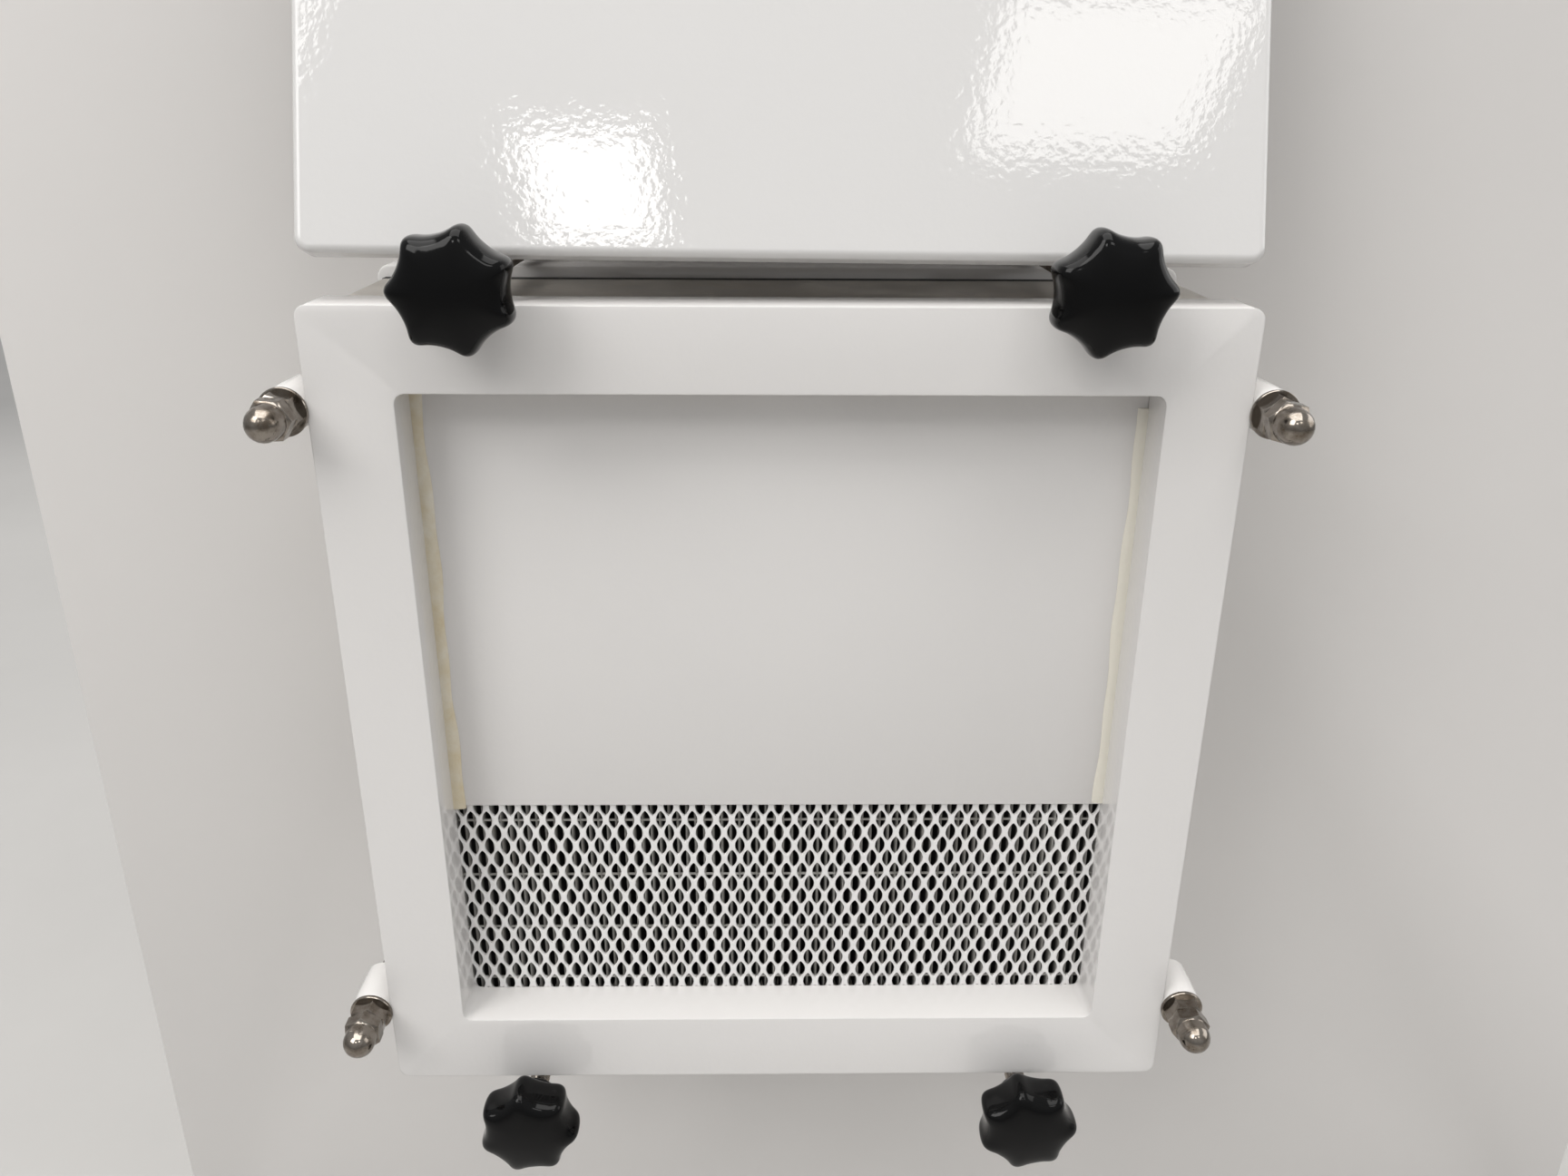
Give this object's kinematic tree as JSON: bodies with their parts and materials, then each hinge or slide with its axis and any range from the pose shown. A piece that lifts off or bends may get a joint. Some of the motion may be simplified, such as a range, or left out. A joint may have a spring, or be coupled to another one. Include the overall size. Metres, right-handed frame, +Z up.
{
  "type": "biological safety cabinet",
  "caption": "Closed-front safety cabinet on a stand, with a sloping window, glove ports, side HEPA inlet with parked cover, transfer hatch and roof exhaust.",
  "frame": {"origin": "on the floor under the middle of the whole cabinet's bounding box", "axes": "+X to the operator's right, +Y away from the operator, +Z up; the inlet is on the -X side"},
  "size_m": [1.3148, 0.8075, 2.064],
  "materials": {
    "white_paint": "semi-gloss off-white powder coat",
    "inlet_paint": "gloss white stoved paint with slight orange peel",
    "guard_paint": "satin white paint on expanded steel",
    "frame_paint": "gloss white powder coat",
    "stand_paint": "semi-gloss off-white powder coat",
    "stainless": "brushed",
    "bright_nickel": "dull nickel plate",
    "knob_plastic": "gloss black moulded plastic",
    "port_plastic": "satin black",
    "rubber": "matt black",
    "foam": "aged brown foam",
    "sealant": "yellowed sealant",
    "galvanised": "dull galvanised",
    "filter_paper": "pleated glass-fibre paper",
    "clear_glass": "clear laminated",
    "lamp_glass": "opal tube",
    "foot_metal": "zinc plate",
    "duct_metal": "spun, satin",
    "black_plastic": "satin black",
    "dial_face": "matt white",
    "needle_paint": "matt red",
    "button_green": "gloss",
    "button_white": "gloss",
    "lamp_lens": "clear amber"
  },
  "bodies": {
    "cabinet": {"left_side_panel": "white_paint", "right_side_panel": "white_paint", "rear_panel": "white_paint", "roof_panel": "white_paint", "front_apron": "white_paint", "header_fascia": "white_paint", "instrument_box": "white_paint", "front_surround": "white_paint", "exhaust_housing": "white_paint", "base_pan": "white_paint", "clamp_frame": "inlet_paint", "inlet_neck": "inlet_paint", "blanking_plate": "inlet_paint", "filter_guard": "guard_paint", "window_hinge_rail": "frame_paint", "hatch_frame": "frame_paint", "stand_frame": "stand_paint", "frame_studs": "bright_nickel", "frame_washers": "bright_nickel", "frame_nuts": "bright_nickel", "dome_nuts": "bright_nickel", "knob_studs": "bright_nickel", "inlet_gasket": "rubber", "plate_sealant": "sealant", "filter_casing": "galvanised", "exhaust_filters": "galvanised", "filter_media": "filter_paper", "exhaust_filter_packs": "filter_paper", "gauge_lens": "clear_glass", "light_tubes": "lamp_glass", "levelling_feet": "foot_metal", "exhaust_spigot": "duct_metal", "fan_motor": "duct_metal", "pressure_gauge": "black_plastic", "control_bezels": "black_plastic", "gauge_dial": "dial_face", "indicator_lamps": "lamp_lens"},
    "star_knob_upper_rear": {"star_knob_upper_rear": "knob_plastic"},
    "star_knob_upper_front": {"star_knob_upper_front": "knob_plastic"},
    "star_knob_lower_rear": {"star_knob_lower_rear": "knob_plastic"},
    "star_knob_lower_front": {"star_knob_lower_front": "knob_plastic"},
    "inlet_cover": {"cover_plate": "inlet_paint", "cover_gasket": "foam"},
    "window": {"window_frame": "frame_paint", "window_glass": "clear_glass", "glazing_bead": "stainless", "window_seal": "rubber", "port_rings": "port_plastic", "window_hinge_leaves": "stainless"},
    "window_knob_left": {"window_knob_left": "knob_plastic"},
    "window_knob_right": {"window_knob_right": "knob_plastic"},
    "door": {"hatch_door": "frame_paint", "hatch_seal": "rubber"},
    "door_lever": {"hatch_handle": "stainless"},
    "fan_wheel": {"fan_impeller": "duct_metal"},
    "needle": {"gauge_needle": "needle_paint"},
    "switch": {"mains_switch": "black_plastic"},
    "fan_button": {"fan_button": "button_green"},
    "lamp_button": {"lamp_button": "button_white"},
    "tray": {"work_tray": "stainless"}
  },
  "joints": [
    {"name": "star_knob_upper_rear_turn", "type": "hinge", "parent": "cabinet", "child": "star_knob_upper_rear", "pos_m": [-0.629, 0.1844, 1.2932], "axis": [-1, 0, 0], "continuous": true},
    {"name": "star_knob_upper_front_turn", "type": "hinge", "parent": "cabinet", "child": "star_knob_upper_front", "pos_m": [-0.629, -0.0144, 1.2932], "axis": [-1, 0, 0], "continuous": true},
    {"name": "star_knob_lower_rear_turn", "type": "hinge", "parent": "cabinet", "child": "star_knob_lower_rear", "pos_m": [-0.629, 0.1844, 0.9668], "axis": [-1, 0, 0], "continuous": true},
    {"name": "star_knob_lower_front_turn", "type": "hinge", "parent": "cabinet", "child": "star_knob_lower_front", "pos_m": [-0.629, -0.0144, 0.9668], "axis": [-1, 0, 0], "continuous": true},
    {"name": "cover_lift_off", "type": "slide", "parent": "cabinet", "child": "inlet_cover", "axis": [0, 0, 1], "range_m": [0, 0.3]},
    {"name": "window_tilt", "type": "hinge", "parent": "cabinet", "child": "window", "pos_m": [0.036, -0.24866, 1.55419], "axis": [-1, 0, 0], "range_deg": [0, 80]},
    {"name": "window_knob_left_turn", "type": "hinge", "parent": "window", "child": "window_knob_left", "pos_m": [-0.424, -0.37455, 0.93789], "axis": [0, -0.9781, 0.2079], "continuous": true},
    {"name": "window_knob_right_turn", "type": "hinge", "parent": "window", "child": "window_knob_right", "pos_m": [0.496, -0.37455, 0.93789], "axis": [0, -0.9781, 0.2079], "continuous": true},
    {"name": "hatch_door_swing", "type": "hinge", "parent": "cabinet", "child": "door", "pos_m": [0.625, 0.202, 1.08], "axis": [0, 0, 1], "range_deg": [0, 120]},
    {"name": "hatch_lever_turn", "type": "hinge", "parent": "door", "child": "door_lever", "pos_m": [0.635, -0.11, 1.08], "axis": [1, 0, 0], "range_deg": [0, 90]},
    {"name": "fan_spin", "type": "hinge", "parent": "cabinet", "child": "fan_wheel", "pos_m": [-0.084, 0.1, 1.9], "axis": [0, 0, 1], "continuous": true},
    {"name": "needle_sweep", "type": "hinge", "parent": "cabinet", "child": "needle", "pos_m": [-0.344, -0.222, 1.628], "axis": [0, 1, 0], "range_deg": [0, 90]},
    {"name": "mains_switch_turn", "type": "hinge", "parent": "cabinet", "child": "switch", "pos_m": [0.416, -0.23, 1.628], "axis": [0, 1, 0], "range_deg": [0, 90]},
    {"name": "fan_button_press", "type": "slide", "parent": "cabinet", "child": "fan_button", "axis": [0, 1, 0], "range_m": [0, 0.004], "stiffness_N_per_m": 300},
    {"name": "lamp_button_press", "type": "slide", "parent": "cabinet", "child": "lamp_button", "axis": [0, 1, 0], "range_m": [0, 0.004], "stiffness_N_per_m": 300},
    {"name": "tray_lift_out", "type": "slide", "parent": "cabinet", "child": "tray", "axis": [0, 0, 1], "range_m": [0, 0.08]}
  ]
}
